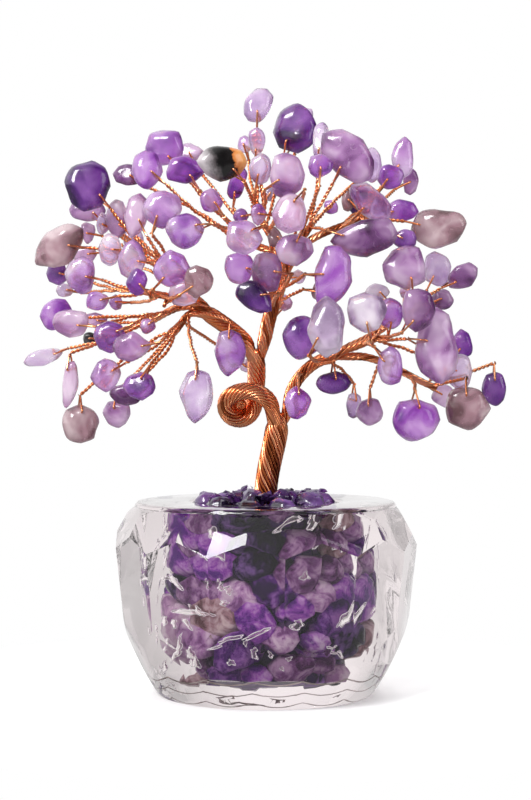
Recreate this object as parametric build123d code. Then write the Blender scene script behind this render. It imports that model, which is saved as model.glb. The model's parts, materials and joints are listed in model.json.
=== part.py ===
"""Gemstone tree: a wire tree hung with drilled stone chips, set in a cut glass bowl.

Millimetres. The origin is the centre of the bowl's flat foot, +Z is up, +X is the right
side seen from the front, and the front faces -Y. Heights in the tree are above the rim.
"""
from build123d import *
import math
import os
import random

os.makedirs("parts", exist_ok=True)

# Cut glass bowl
BOWL_HEIGHT = 49.0
RIM_R = 33.5
BELLY_R = 39.2
BELLY_Z = 36.5
FOOT_R = 28.0
FOOT_EDGE = 0.8
RIM_ROUND = 1.2
CAVITY_R = 19.0
FLOOR_THICK = 9.0
CAVITY_CORNER = 5.0
FACETS = 13
FACET_OVERRUN = 12.0
# Each row of flat cuts follows a straight line in section: radius and height at both ends
SHOULDER_CUT = ((39.0, 37.5), (32.9, 49.0))
WAIST_CUT = ((35.2, 14.0), (38.2, 42.0))
HEEL_CUT = ((28.7, 1.5), (36.0, 17.0))

# Setting in the bowl: a hardened resin plug, chips packed round it and a heap on top
PLUG_R = 10.0
PLUG_TOP_DROP = 4.2
FIT_GAP = 0.15
RING_CHIPS = 11
RING_LAYERS = 6
CHIP_GAP = 0.35
HEAP_OUTER = 10
HEAP_INNER = 5
HEAP_OUTER_AT = 14.3
HEAP_INNER_AT = 6.6
HEAP_OUTER_CHIP = 7.2
HEAP_INNER_CHIP = 5.9
HEAP_INNER_PHASE = 0.3
HEAP_OUTER_THICK = 5.2
HEAP_INNER_THICK = 6.2
RING_FILL = 0.86

# Twisted wire ropes
TRUNK_FOOT_DEPTH = 32.0
FOOT_STRAIGHT = 0.6
TRUNK_FOOT_D = 5.6
TRUNK_TOP_D = 6.2
LOOP_D = 4.4
LOOP_TOP_D = 4.9
LEFT_D = 4.4
CENTRE_D = 3.8
RIGHT_D = 3.2
STEM_D = 2.3
STEM_TIP_D = 1.8
STEM_GAP = 0.08
END_PULL = 1.0
TURN_APART = 9.0

# Routes of the ropes: x, y and height above the rim
TRUNK_ROUTE = ((0.2, 0.4, 4.0), (1.3, 0.0, 10.5), (2.6, -0.4, 16.5), (3.4, -0.6, 22.5))
LOOP_ROUTE = (
    (1.6, -1.7, 22.5), (0.4, -2.6, 26.2), (-3.0, -3.1, 28.1), (-7.3, -2.9, 27.85), (-9.4, -2.5, 26.65),
    (-10.2, -1.7, 24.4), (-9.4, -0.6, 22.15), (-7.3, 0.6, 20.95), (-4.95, 1.8, 21.4), (-3.4, 2.7, 23.2),
    (-2.75, 3.1, 26.6), (-2.3, 2.8, 31.5), (-2.6, 1.6, 38.8),
)
LEFT_ROUTE = ((-4.7, 1.6, 38.8), (-8.4, 0.6, 43.6), (-13.0, -0.6, 46.9), (-16.8, -1.4, 49.3))
CENTRE_ROUTE = ((-0.3, 1.6, 38.8), (0.0, 1.4, 42.6), (1.6, 0.6, 49.0), (3.2, 0.4, 54.1), (4.5, 0.6, 59.5))
RIGHT_ROUTE = ((5.6, 0.6, 22.5), (6.3, 0.5, 27.2), (9.2, -0.2, 32.3), (13.6, -1.2, 35.9), (19.6, -2.0, 37.9))

# Drilled stones and the folded wire twigs that carry them
WIRE_D = 0.5
TWIG_D = 1.0
HOLE_D = 0.7
HOLE_INSET = 2.0
BAIL_REACH = 2.4
BAIL_SIDE = 0.95
BAIL_NECK = 0.2
BAIL_BEND = 0.36
NODE_GAP = 0.2
NODE_LEAST_RISE = 0.35
NODE_STEP = 0.3
NODE_SECTOR = 55.0
SEAT_GAP = 0.12
STONE_CORNERS = 8
CHIP_CORNERS = 7
FULLNESS = 1.07
FRONT_HALF = 0.54
CORNER_STRAY = 0.22
LEVEL_SLIP = 0.05
THICK_SHARE = 0.6
THICK_MIN = 2.8
THICK_MAX = 6.2
LEAN = 14.0
YAW = 18.0
LEAF_GAP = 0.6
SPREAD_ROUNDS = 70
NEAR = 12.0
STEP_MAX = 1.5
STONE_PUSH = 0.25
ROPE_PUSH = 0.3
TWIG_PUSH = 0.2
TWIG_POINTS = 15
ROPE_POINTS = 40
STEM_POINTS = 24
LOOP_POINTS = 200
EXIT_PLACES = 20
BARE_SHARE = 0.25
FORK_SHARE = 0.85
TIP_BARE = 0.6
SEED = 7

# The leaf places are as seen from the front at this distance and this height above the rim
VIEW_DISTANCE = 500.0
EYE_RISE = 35.1

# Sprays: the rope that carries the stem, the hub where the twigs fan out and the stones.
# Each stone: x, height above the rim, depth, width, height, turn of the outline in degrees.
SPRAYS = {
    "left_high": ("left", (-29.1, 4.0, 63.9), (
        (-45.6, 80.8, 0, 11.0, 12.3, 0), (-45.8, 74.7, 14, 9.2, 6.2, 0), (-41.7, 71.1, 12, 3.6, 5.4, 0),
        (-38.1, 72.4, 4, 5.6, 9.8, 0), (-34.0, 67.0, 12, 5.1, 6.2, 0), (-33.3, 73.4, -6, 5.4, 11.0, -8),
        (-26.6, 74.9, -10, 9.8, 9.0, 0), (-52.8, 65.4, 7, 14.1, 9.2, 40), (-45.6, 68.8, 20, 3.6, 5.6, 0),
        (-46.6, 63.4, 24, 6.9, 4.1, 0), (-39.9, 64.4, -3, 5.6, 8.0, 0), (-34.3, 61.8, -10, 6.4, 9.8, 0),
    )),
    "top_left": ("centre", (-9.6, 4.0, 68.0), (
        (-35.6, 83.7, 10, 6.9, 5.6, 0), (-30.4, 84.9, -3, 7.2, 10.3, 0), (-25.8, 90.6, 4, 9.8, 9.2, 0),
        (-20.9, 84.9, -8, 9.2, 6.9, 0), (-19.4, 89.3, 17, 6.4, 5.1, 0),
        (-14.0, 77.2, -6, 5.1, 6.2, 0), (-20.7, 69.3, -13, 8.7, 8.7, 0), (-7.3, 81.3, 0, 4.1, 8.7, -25),
        (-5.8, 67.7, -22, 8.5, 8.5, 0),
    )),
    "top_mid": ("centre", (-3.2, 0.0, 76.0), (
        (-1.9, 101.6, 7, 6.9, 9.5, -25), (-2.2, 92.4, 2, 3.9, 7.2, 0), (-5.3, 91.4, 14, 3.6, 4.6, 0),
        (-1.4, 85.2, -8, 5.6, 7.4, 0), (7.6, 95.5, 12, 10.8, 12.3, 0), (5.5, 83.4, -18, 8.2, 10.8, 0),
        (1.2, 78.8, 28, 3.6, 3.9, 0), (-6.3, 73.1, -14, 3.6, 3.6, 0), (-1.9, 73.6, -21, 3.6, 5.1, 0),
        (10.4, 99.1, 22, 3.6, 3.6, 0), (-11.2, 86.7, -16, 11.8, 8.2, 0),
    )),
    "top_right": ("centre", (11.9, -6.0, 70.8), (
        (14.3, 92.6, 0, 4.6, 9.2, 0), (14.0, 86.0, -13, 6.2, 5.6, 0), (21.2, 88.5, -10, 15.4, 9.8, -45),
        (6.3, 73.6, -23, 8.0, 9.5, 0), (16.8, 75.4, 10, 3.6, 3.6, 0),
        (7.3, 64.4, -20, 8.7, 7.7, 0), (27.6, 86.2, 12, 4.6, 9.0, 0), (25.8, 67.5, -18, 15.9, 8.7, 10),
    )),
    "right_high": ("centre", (26.3, 6.0, 74.2), (
        (35.3, 87.8, 10, 5.6, 10.8, 0), (32.0, 83.1, -3, 6.7, 6.2, 0), (37.1, 82.1, 20, 4.1, 7.2, 0),
        (27.1, 76.5, -8, 12.3, 7.2, -45), (35.1, 74.4, 10, 8.2, 5.6, 0), (44.3, 70.0, 2, 14.4, 9.8, 0),
        (35.8, 67.2, -6, 5.6, 5.1, 0), (24.3, 74.7, 20, 5.1, 4.6, 0), (21.2, 77.2, 14, 3.6, 5.6, 0),
    )),
    "right_up": ("right", (41.0, 6.0, 52.1), (
        (35.8, 59.8, -10, 10.8, 10.5, 0), (44.0, 59.5, 10, 6.7, 9.2, 0), (50.7, 57.7, 5, 8.5, 5.6, 35),
        (32.0, 48.0, -8, 6.7, 7.7, 0), (28.6, 53.6, 24, 6.4, 4.1, 0),
        (39.2, 49.2, -14, 8.2, 10.3, 0), (45.6, 51.6, 17, 5.6, 5.6, 0), (36.1, 53.6, 30, 3.6, 3.6, 0),
    )),
    "right_mid": ("right", (28.9, -6.0, 41.8), (
        (44.0, 39.5, -10, 10.3, 18.5, 0), (49.7, 33.1, 2, 6.2, 9.2, 0),
        (32.2, 34.6, -18, 6.2, 9.2, 0), (26.1, 48.5, -23, 9.2, 9.5, 0),
    )),
    "right_low": ("right", (44.0, 0.0, 29.0), ((45.6, 26.9, 12, 6.2, 5.6, 0), (50.5, 40.0, 12, 5.1, 7.2, 0))),
    "right_under": ("right", None, (
        (15.8, 44.6, -25, 8.5, 14.1, 0), (9.6, 41.8, -16, 9.8, 10.3, 0),
    )),
    "centre": ("centre", None, (
        (-6.8, 59.8, -8, 7.4, 7.7, 0), (0.4, 58.7, -16, 7.7, 9.5, 0), (-3.0, 52.3, -18, 9.8, 6.2, -35),
        (5.0, 50.8, 0, 3.6, 4.1, 0), (8.3, 57.5, 6, 3.6, 3.6, 0), (2.4, 67.5, -16, 3.6, 5.1, 0),
        (17.1, 57.7, -20, 8.7, 15.4, -10), (13.7, 53.9, -6, 3.6, 4.4, 0),
    )),
    "left_low": ("left", (-24.0, -1.0, 42.4), (
        (-32.2, 29.5, -10, 8.0, 6.7, 0), (-35.6, 27.4, 2, 8.7, 5.6, 0), (-41.0, 32.3, -8, 6.9, 8.0, 0),
        (-4.8, 34.6, 17, 3.6, 3.6, 0), (-34.5, 39.5, -13, 9.0, 6.7, 0),
    )),
    "left_mid": ("left", (-32.7, 8.0, 45.0), (
        (-39.9, 42.1, 0, 8.0, 7.7, 0), (-30.2, 44.9, -8, 3.9, 3.6, 0),
        (-57.1, 36.9, 10, 9.8, 3.9, 15), (-45.1, 41.3, 22, 3.6, 4.1, 0), (-43.8, 46.4, 12, 6.4, 3.9, 0),
        (-49.9, 45.7, -3, 9.2, 6.9, 0), (-53.8, 48.0, 10, 8.7, 7.2, 50),
    )),
    "left_fan": ("left", (-31.5, -8.0, 53.6), (
        (-53.5, 58.5, 14, 5.4, 6.2, 0), (-47.4, 58.0, 0, 7.4, 9.2, 0), (-51.7, 54.1, 20, 4.6, 3.6, 0),
        (-43.3, 51.3, -8, 5.6, 4.9, 0), (-38.4, 50.8, 12, 3.6, 3.9, 0), (-33.0, 56.2, -16, 5.1, 6.2, 0),
        (-24.0, 59.3, -18, 8.7, 8.7, 0), (-20.9, 53.4, -15, 7.7, 6.2, 0), (-17.3, 56.4, -20, 6.7, 7.7, 0),
    )),
}
# Stones that hang free on their wire and swing, with the spray that carries each
SWINGING = (
    ("left_mid", (-50.2, 30.0, 2, 3.9, 11.6, -8)), ("left_low", (-47.6, 19.7, 2, 9.2, 9.5, 0)),
    ("left_low", (-38.1, 22.5, 12, 7.2, 6.7, 0)), ("left_low", (-17.6, 27.2, -16, 7.7, 12.3, 0)),
    ("left_low", (-9.1, 38.2, -10, 7.7, 10.8, 0)), ("right_under", (8.3, 25.1, -13, 6.2, 7.7, 0)),
    ("right_under", (17.4, 30.3, -5, 8.7, 5.9, 0)), ("right_under", (22.7, 24.6, 10, 3.9, 6.2, 0)),
    ("right_low", (26.8, 22.8, 0, 6.4, 6.7, 0)), ("right_low", (38.4, 20.7, -8, 11.8, 10.3, 0)),
    ("right_low", (51.5, 23.8, -3, 10.8, 10.5, 0)), ("right_low", (58.7, 28.7, 7, 6.2, 8.7, 0)),
)


def add(a, b, scale=1.0):
    return tuple(p + scale * q for p, q in zip(a, b))


def sub(a, b):
    return tuple(p - q for p, q in zip(a, b))


def dot(a, b):
    return sum(p * q for p, q in zip(a, b))


def cross(a, b):
    return (a[1] * b[2] - a[2] * b[1], a[2] * b[0] - a[0] * b[2], a[0] * b[1] - a[1] * b[0])


def unit(a):
    size = math.sqrt(dot(a, a))
    return tuple(p / size for p in a)


def turned(a, axis, degrees):
    """The vector a turned about a unit axis."""
    c = math.cos(math.radians(degrees))
    s = math.sin(math.radians(degrees))
    along = dot(a, axis) * (1 - c)
    return add(add(tuple(c * p for p in a), cross(axis, a), s), axis, along)


def above_rim(point):
    return (point[0], point[1], point[2] + BOWL_HEIGHT)


def stack(rings):
    """Solid with flat faces through rings of points that are scaled copies of one outline."""
    faces = [Face(Wire.make_polygon(rings[0])), Face(Wire.make_polygon(rings[-1]))]
    count = len(rings[0])
    for low, high in zip(rings, rings[1:]):
        for k in range(count):
            m = (k + 1) % count
            faces.append(Face(Wire.make_polygon((low[k], low[m], high[m], high[k]))))
    return Solid(Shell(faces))


def cut_row(line, phase):
    """Many-sided cone whose flats follow a straight line in section, run past both ends."""
    (r0, z0), (r1, z1) = line
    slope = (r1 - r0) / (z1 - z0)
    rings = []
    for z in (-FACET_OVERRUN, BOWL_HEIGHT + FACET_OVERRUN):
        corner = (r0 + slope * (z - z0)) / math.cos(math.pi / FACETS)
        turns = [math.tau * (k + 0.5 + phase) / FACETS for k in range(FACETS)]
        rings.append([(corner * math.cos(t), corner * math.sin(t), z) for t in turns])
    return stack(rings)


def glass_bowl():
    belly = (BELLY_R, BELLY_Z)
    rim = (RIM_R, BOWL_HEIGHT - RIM_ROUND)
    lip = (RIM_R - RIM_ROUND, BOWL_HEIGHT)
    mouth = (CAVITY_R + RIM_ROUND, BOWL_HEIGHT)
    wall = (CAVITY_R, BOWL_HEIGHT - RIM_ROUND)
    corner = (CAVITY_R, FLOOR_THICK + CAVITY_CORNER)
    floor = (CAVITY_R - CAVITY_CORNER, FLOOR_THICK)
    heel = (FOOT_R, FOOT_EDGE)
    foot = (FOOT_R - FOOT_EDGE, 0)
    section = [
        Line((0, 0), foot),
        Line(foot, heel),
        TangentArc(belly, heel, tangent=(0, -1)),
        TangentArc(belly, rim, tangent=(0, 1)),
        RadiusArc(rim, lip, -RIM_ROUND),
        Line(lip, mouth),
        RadiusArc(mouth, wall, -RIM_ROUND),
        Line(wall, corner),
        RadiusArc(corner, floor, CAVITY_CORNER),
        Line(floor, (0, FLOOR_THICK)),
        Line((0, FLOOR_THICK), (0, 0)),
    ]
    blank = revolve(Plane.XZ * make_face(section), Axis.Z)
    for line, phase in ((SHOULDER_CUT, 0.0), (WAIST_CUT, 0.5), (HEEL_CUT, 0.0)):
        blank = blank & cut_row(line, phase)
    return blank.solid()


def outline(rng, corners, wide, high):
    """Irregular rounded polygon of a tumbled chip, in its own plane."""
    three = rng.uniform(0.02, 0.09)
    four = rng.uniform(0.0, 0.05)
    turn_three = rng.uniform(0, math.tau)
    turn_four = rng.uniform(0, math.tau)
    points = []
    for k in range(corners):
        t = math.tau * (k + rng.uniform(-CORNER_STRAY, CORNER_STRAY)) / corners
        reach = 1 + three * math.cos(3 * t + turn_three) + four * math.cos(4 * t + turn_four)
        reach *= FULLNESS / 2
        points.append((wide * reach * math.cos(t), high * reach * math.sin(t)))
    return points


def pebble(rng, points, thick, levels, middle, u, v, n):
    """Chip with flat faces: the outline scaled at each level through its thickness."""
    reach = max(max(abs(p), abs(q)) for p, q in points)
    rings = []
    for level, share in levels:
        slip = [LEVEL_SLIP * reach * rng.uniform(-1, 1) * (1 - share) for _ in range(2)]
        ring = []
        for p, q in points:
            at = add(add(middle, u, share * p + slip[0]), v, share * q + slip[1])
            ring.append(add(at, n, level * thick))
        rings.append(ring)
    return stack(rings)


LEAF_LEVELS = ((-0.5, 0.60), (-0.27, 0.92), (0.06, 1.0), (0.33, 0.86), (0.5, 0.54))
FILL_LEVELS = ((-0.5, 0.62), (-0.12, 1.0), (0.24, 0.94), (0.5, 0.56))


def edge_reach(points, way):
    """Distance from the middle to the outline in a direction of its plane."""
    best = 0.0
    for a, b in zip(points, points[1:] + points[:1]):
        side = (b[0] - a[0], b[1] - a[1])
        det = side[0] * way[1] - side[1] * way[0]
        if abs(det) < 1e-9:
            continue
        s = (way[0] * a[1] - way[1] * a[0]) / det
        t = (side[0] * a[1] - side[1] * a[0]) / det
        if -1e-9 <= s <= 1 + 1e-9 and t > best:
            best = t
    return best


def rope(route, d0, d1, parent=None):
    """Round rope along a smooth route, tapering; on a parent rope it starts flat on its end."""
    route = list(route)
    first = unit(sub(route[1], route[0]))
    last = unit(sub(route[-1], route[-2]))
    if parent:
        first = unit(tuple(parent % 1))
        route[0] = add(route[0], first, -dot(sub(route[0], tuple(parent @ 1)), first))
    path = Spline(*route, tangents=(first, last), tangent_scalars=(END_PULL, END_PULL))
    start = Plane(origin=path @ 0, z_dir=path % 0) * Circle(d0 / 2)
    end = Plane(origin=path @ 1, z_dir=path % 1) * Circle(d1 / 2)
    return sweep([start, end], path=path, multisection=True).solid(), path


def points_on(path, count):
    return [tuple(path @ (k / (count - 1))) for k in range(count)]


# Ropes of the trunk and the three branches
foot_z = BOWL_HEIGHT - TRUNK_FOOT_DEPTH
trunk_points = [(0, 0, foot_z), (0, 0, foot_z + FOOT_STRAIGHT * TRUNK_FOOT_DEPTH)]
trunk_points += [above_rim(p) for p in TRUNK_ROUTE]
ropes = {}
paths = {}
ropes["trunk_lower"], paths["trunk_lower"] = rope(trunk_points, TRUNK_FOOT_D, TRUNK_TOP_D)
for name, parent, route, d0, d1 in (
    ("trunk_loop", "trunk_lower", LOOP_ROUTE, LOOP_D, LOOP_TOP_D),
    ("branch_left", "trunk_loop", LEFT_ROUTE, LEFT_D, LEFT_D),
    ("branch_centre", "trunk_loop", CENTRE_ROUTE, CENTRE_D, CENTRE_D),
    ("branch_right", "trunk_lower", RIGHT_ROUTE, RIGHT_D, RIGHT_D),
):
    ropes[name], paths[name] = rope([above_rim(p) for p in route], d0, d1, paths[parent])

# The trunk's loop passes itself with a gap, measured between points a turn apart
loop_path = paths["trunk_loop"]
loop_step = loop_path.length / LOOP_POINTS
loop_points = [
    tuple(loop_path.position_at(k * loop_step, position_mode=PositionMode.LENGTH)) for k in range(LOOP_POINTS)
]
turn_points = round(TURN_APART / loop_step)
least = min(math.dist(p, q) for k, p in enumerate(loop_points) for q in loop_points[k + turn_points:])
print("trunk_loop least gap to itself %.2f mm" % (least - LOOP_TOP_D))

# Stems start side by side on the end of their branch and bend to their hubs
stems = {}
for branch in ("left", "centre", "right"):
    carried = [s for s in SPRAYS if SPRAYS[s][0] == branch and SPRAYS[s][1]]
    path = paths["branch_" + branch]
    end = tuple(path @ 1)
    way = unit(tuple(path % 1))
    across = unit(cross(way, (0, 1, 0)))
    upward = cross(across, way)
    bearings = {}
    for spray in carried:
        toward = sub(above_rim(SPRAYS[spray][1]), end)
        bearings[spray] = math.atan2(dot(toward, upward), dot(toward, across))
    order = sorted(carried, key=lambda s: bearings[s])
    share = math.tau / len(order)
    lag_sin = sum(math.sin(bearings[s] - k * share) for k, s in enumerate(order))
    lag_cos = sum(math.cos(bearings[s] - k * share) for k, s in enumerate(order))
    lag = math.atan2(lag_sin, lag_cos)
    ring = (STEM_D + STEM_GAP) / 2 / math.sin(math.pi / len(order))
    for k, spray in enumerate(order):
        turn = k * share + lag
        start = add(add(end, across, ring * math.cos(turn)), upward, ring * math.sin(turn))
        hub = above_rim(SPRAYS[spray][1])
        run = unit(sub(hub, start))
        path = Spline(start, hub, tangents=(way, run))
        low = Plane(origin=path @ 0, z_dir=path % 0) * Circle(STEM_D / 2)
        tip = Plane(origin=path @ 1, z_dir=path % 1) * Circle(STEM_TIP_D / 2)
        stems[spray] = (sweep([low, tip], path=path, multisection=True).solid(), path)

# Leaves: one entry per stone
leaves = []
for spray, (_, _, stones) in SPRAYS.items():
    for stone in stones:
        leaves.append({"spray": spray, "swing": False, "row": stone})
for spray, stone in SWINGING:
    leaves.append({"spray": spray, "swing": True, "row": stone})
for index, leaf in enumerate(leaves):
    leaf["rng"] = random.Random(SEED + index)
    x, h, depth, wide, high, turn = leaf["row"]
    leaf["y"] = float(depth)
    leaf["points"] = outline(leaf["rng"], STONE_CORNERS, wide, high)
    leaf["thick"] = min(THICK_MAX, max(THICK_MIN, THICK_SHARE * min(wide, high)))
    flat = math.radians(turn)
    u = (math.cos(flat), 0, math.sin(flat))
    v = (-math.sin(flat), 0, math.cos(flat))
    n = (0, -1, 0)
    if leaf["swing"]:
        yaw = leaf["rng"].uniform(-YAW, YAW)
        u, v, n = (turned(a, (0, 0, 1), yaw) for a in (u, v, n))
    else:
        for axis in (u, v):
            lean = leaf["rng"].uniform(-LEAN, LEAN)
            u, v, n = (turned(a, axis, lean) for a in (u, v, n))
    leaf["axes"] = (u, v, n)


def carrier(spray):
    """Path of the rope that a spray's twigs start from, with its two end diameters."""
    branch, hub, _ = SPRAYS[spray]
    if hub:
        return stems[spray][1], STEM_D, STEM_TIP_D
    d = {"left": LEFT_D, "centre": CENTRE_D, "right": RIGHT_D}[branch]
    return paths["branch_" + branch], d, d


# Places along each rope where twigs can leave it: share of its length and point
exits = {}
for spray in SPRAYS:
    path = carrier(spray)[0]
    top = 1.0 if SPRAYS[spray][1] else FORK_SHARE
    shares = [BARE_SHARE + (top - BARE_SHARE) * k / EXIT_PLACES for k in range(EXIT_PLACES + 1)]
    exits[spray] = [(share, tuple(path @ share)) for share in shares]


def root_of(leaf, aim):
    """Share along the rope and point nearest to the leaf."""
    return min(exits[leaf["spray"]], key=lambda e: math.dist(e[1], aim))


def seat(leaf):
    """Middle of the stone, its hole, the neck of its wire and the way from hole to neck."""
    x, h, _, _, _, _ = leaf["row"]
    near = 1 + leaf["y"] / VIEW_DISTANCE
    middle = above_rim((x * near, leaf["y"], EYE_RISE + (h - EYE_RISE) * near))
    u, v, n = leaf["axes"]
    if leaf["swing"]:
        pull = (0, 0, 1)
    else:
        pull = sub(root_of(leaf, middle)[1], middle)
    way = (dot(pull, u), dot(pull, v))
    size = math.hypot(*way)
    way = (way[0] / size, way[1] / size)
    edge = edge_reach(leaf["points"], way)
    inset = min(HOLE_INSET, edge)
    out = add(tuple(way[0] * a for a in u), v, way[1])
    hole = add(middle, out, edge - inset)
    neck = add(hole, out, inset + BAIL_REACH)
    leaf.update(middle=middle, hole=hole, neck=neck, out=out, reach=inset + BAIL_REACH)


def front_reach(leaf, dx, dz):
    """Half size of a stone seen from the front in one direction."""
    _, _, _, wide, high, turn = leaf["row"]
    t = math.atan2(dz, dx) - math.radians(turn)
    return FRONT_HALF * FULLNESS / math.hypot(math.cos(t) / wide, math.sin(t) / high)


def clearance(depth_half, share):
    return depth_half * max(0.0, 1 - share ** 3) ** (1 / 3)


# Stones that would meet are moved apart in depth, and clear of twigs and ropes
rope_points = []
for name, path in paths.items():
    r = {"trunk_lower": TRUNK_TOP_D, "branch_right": RIGHT_D}.get(name, LOOP_TOP_D) / 2
    rope_points += [(p, r, "") for p in points_on(path, ROPE_POINTS)]
for spray in stems:
    rope_points += [(p, STEM_D / 2, spray) for p in points_on(stems[spray][1], STEM_POINTS)]


def part_stones(a, b):
    """Push two stones apart in depth where their outlines cross from the front."""
    dx, _, dz = sub(b["middle"], a["middle"])
    room = front_reach(a, dx, dz) + front_reach(b, dx, dz) + LEAF_GAP
    share = math.hypot(dx, dz) / room
    if share < 1:
        need = clearance((a["thick"] + b["thick"]) / 2 + 2 * BAIL_SIDE, share) + LEAF_GAP
        have = b["y"] - a["y"]
        if abs(have) < need:
            move = STONE_PUSH * math.copysign(need - abs(have), have if have else 1)
            b["push"] += move
            a["push"] -= move


def part_stone_from(a, point, r, weight):
    """Push a stone in depth off a round wire or rope that passes a point."""
    dx, dy, dz = sub(point, a["middle"])
    if abs(dx) > NEAR or abs(dz) > NEAR:
        return
    share = math.hypot(dx, dz) / (front_reach(a, dx, dz) + r + LEAF_GAP)
    if share < 1:
        need = clearance(a["thick"] / 2 + BAIL_SIDE, share) + r + LEAF_GAP
        if abs(dy) < need:
            a["push"] -= weight * math.copysign(need - abs(dy), dy)


def part_twigs(a, b):
    """Push two leaves apart in depth where their twigs come too close."""
    for f, p in a["run"][4:]:
        for g, q in b["run"][4:]:
            gap = math.dist(p, q)
            if gap < TWIG_D + LEAF_GAP:
                way = q[1] - p[1] if abs(q[1] - p[1]) > 0.02 else b["y"] - a["y"] + 0.01
                move = TWIG_PUSH * math.copysign(TWIG_D + LEAF_GAP - gap, way)
                b["push"] += move * g
                a["push"] -= move * f


for _ in range(SPREAD_ROUNDS):
    for leaf in leaves:
        seat(leaf)
        root = root_of(leaf, leaf["neck"])[1]
        span = sub(leaf["neck"], root)
        leaf["run"] = [(k / TWIG_POINTS, add(root, span, k / TWIG_POINTS)) for k in range(TWIG_POINTS + 1)]
        leaf["push"] = 0.0
    for i, a in enumerate(leaves):
        low_a = [min(p[k] for _, p in a["run"]) - NEAR / 8 for k in range(3)]
        high_a = [max(p[k] for _, p in a["run"]) + NEAR / 8 for k in range(3)]
        for b in leaves[i + 1:]:
            part_stones(a, b)
            apart = any(
                min(p[k] for _, p in b["run"]) > high_a[k] or max(p[k] for _, p in b["run"]) < low_a[k]
                for k in range(3))
            if not apart:
                part_twigs(a, b)
        for b in leaves:
            if b is not a:
                for _, p in b["run"][2:]:
                    part_stone_from(a, p, TWIG_D / 2, STONE_PUSH)
        for p, r, spray in rope_points:
            part_stone_from(a, p, r, ROPE_PUSH)
            if spray != a["spray"]:
                for f, q in a["run"][5:]:
                    short = r + TWIG_D / 2 + LEAF_GAP - math.dist(p, q)
                    if short > 0:
                        a["push"] += TWIG_PUSH * math.copysign(short, q[1] - p[1])
    for leaf in leaves:
        leaf["y"] += max(-STEP_MAX, min(STEP_MAX, leaf["push"]))
for leaf in leaves:
    seat(leaf)


def twig(leaf, start):
    """Folded wire: a twisted shank from the stem and a bail through the stone's hole."""
    _, _, n = leaf["axes"]
    span = sub(leaf["neck"], start)
    length = math.sqrt(dot(span, span))
    shank = Solid.make_cylinder(TWIG_D / 2, length + TWIG_D / 3, Plane(origin=start, z_dir=span))
    side = leaf["thick"] / 2 + BAIL_SIDE
    path = FilletPolyline(
        (BAIL_NECK, leaf["reach"]), (side, 0), (-side, 0), (-BAIL_NECK, leaf["reach"]),
        radius=BAIL_BEND,
    )
    wire = sweep(Plane(origin=path @ 0, z_dir=path % 0) * Circle(WIRE_D / 2), path=path)
    at = Plane(origin=leaf["hole"], x_dir=n, z_dir=cross(n, leaf["out"]))
    return (shank + at.location * wire.solid()).solid()


def drilled_stone(leaf):
    u, v, n = leaf["axes"]
    stone = pebble(leaf["rng"], leaf["points"], leaf["thick"], LEAF_LEVELS, leaf["middle"], u, v, n)
    depth = 2 * leaf["thick"]
    drill = Solid.make_cylinder(HOLE_D / 2, depth, Plane(origin=add(leaf["hole"], n, -depth / 2), z_dir=n))
    return (stone - drill).solid()


def stem_starts(spray):
    """Start of each twig on the stem's skin, spaced along it where bearings are close."""
    path, d_low, d_tip = carrier(spray)
    taken = []
    own = [leaf for leaf in leaves if leaf["spray"] == spray]
    tip_way = unit(tuple(path % 1))
    tip = tuple(path @ 1)
    own.sort(key=lambda a: -dot(unit(sub(a["neck"], tip)), tip_way))
    for leaf in own:
        back = TIP_BARE + path.length * (1 - root_of(leaf, leaf["neck"])[0])
        while True:
            share = 1 - back / path.length
            at = tuple(path @ share)
            way = unit(tuple(path % share))
            toward = unit(sub(leaf["neck"], at))
            radial = unit(add(toward, way, -dot(toward, way)))
            rise = max(NODE_LEAST_RISE, dot(toward, radial))
            clash = [
                1 for b, r, other in taken
                if abs(b - back) * min(rise, other) < TWIG_D + NODE_GAP
                and dot(r, radial) > math.cos(math.radians(NODE_SECTOR))
            ]
            if not clash:
                break
            back += NODE_STEP
        taken.append((back, radial, rise))
        skin = (d_tip + (d_low - d_tip) * back / path.length) / 2
        tilt = math.sqrt(max(0.0, 1 - dot(toward, radial) ** 2))
        leaf["start"] = add(at, radial, skin + SEAT_GAP + tilt * TWIG_D / 2)


for spray in SPRAYS:
    stem_starts(spray)
for leaf in leaves:
    leaf["twig"] = twig(leaf, leaf["start"])
    leaf["stone"] = drilled_stone(leaf)

# The bowl's setting
plug_top = BOWL_HEIGHT - PLUG_TOP_DROP
socket = rope(trunk_points, TRUNK_FOOT_D + 2 * FIT_GAP, TRUNK_TOP_D + 2 * FIT_GAP)[0]
plug = Pos(0, 0, FLOOR_THICK) * Cylinder(
    PLUG_R, plug_top - FLOOR_THICK, align=(Align.CENTER, Align.CENTER, Align.MIN))
plug = (plug - socket).solid()

chip_rng = random.Random(SEED)
layer_h = (plug_top - FLOOR_THICK) / RING_LAYERS
layers = []
for layer in range(RING_LAYERS):
    z = FLOOR_THICK + (layer + 0.5) * layer_h
    outer = CAVITY_R - FIT_GAP
    lift = z - layer_h / 2 - FLOOR_THICK
    if lift < CAVITY_CORNER:
        outer -= CAVITY_CORNER - math.sqrt(CAVITY_CORNER ** 2 - (CAVITY_CORNER - lift) ** 2)
    inner = PLUG_R + FIT_GAP
    radius = (inner + outer) / 2
    chips = []
    for k in range(RING_CHIPS):
        t = math.tau * (k + 0.5 * (layer % 2)) / RING_CHIPS
        n = (math.cos(t), math.sin(t), 0)
        u = (-math.sin(t), math.cos(t), 0)
        wide = math.tau * radius / RING_CHIPS - CHIP_GAP
        points = outline(chip_rng, CHIP_CORNERS, RING_FILL * wide, RING_FILL * (layer_h - CHIP_GAP))
        far = math.sqrt(outer ** 2 - (wide / 2) ** 2)
        middle = ((inner + far) / 2 * n[0], (inner + far) / 2 * n[1], z)
        chips.append(pebble(chip_rng, points, far - inner, FILL_LEVELS, middle, u, (0, 0, 1), n))
    layers.append(chips)

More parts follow.
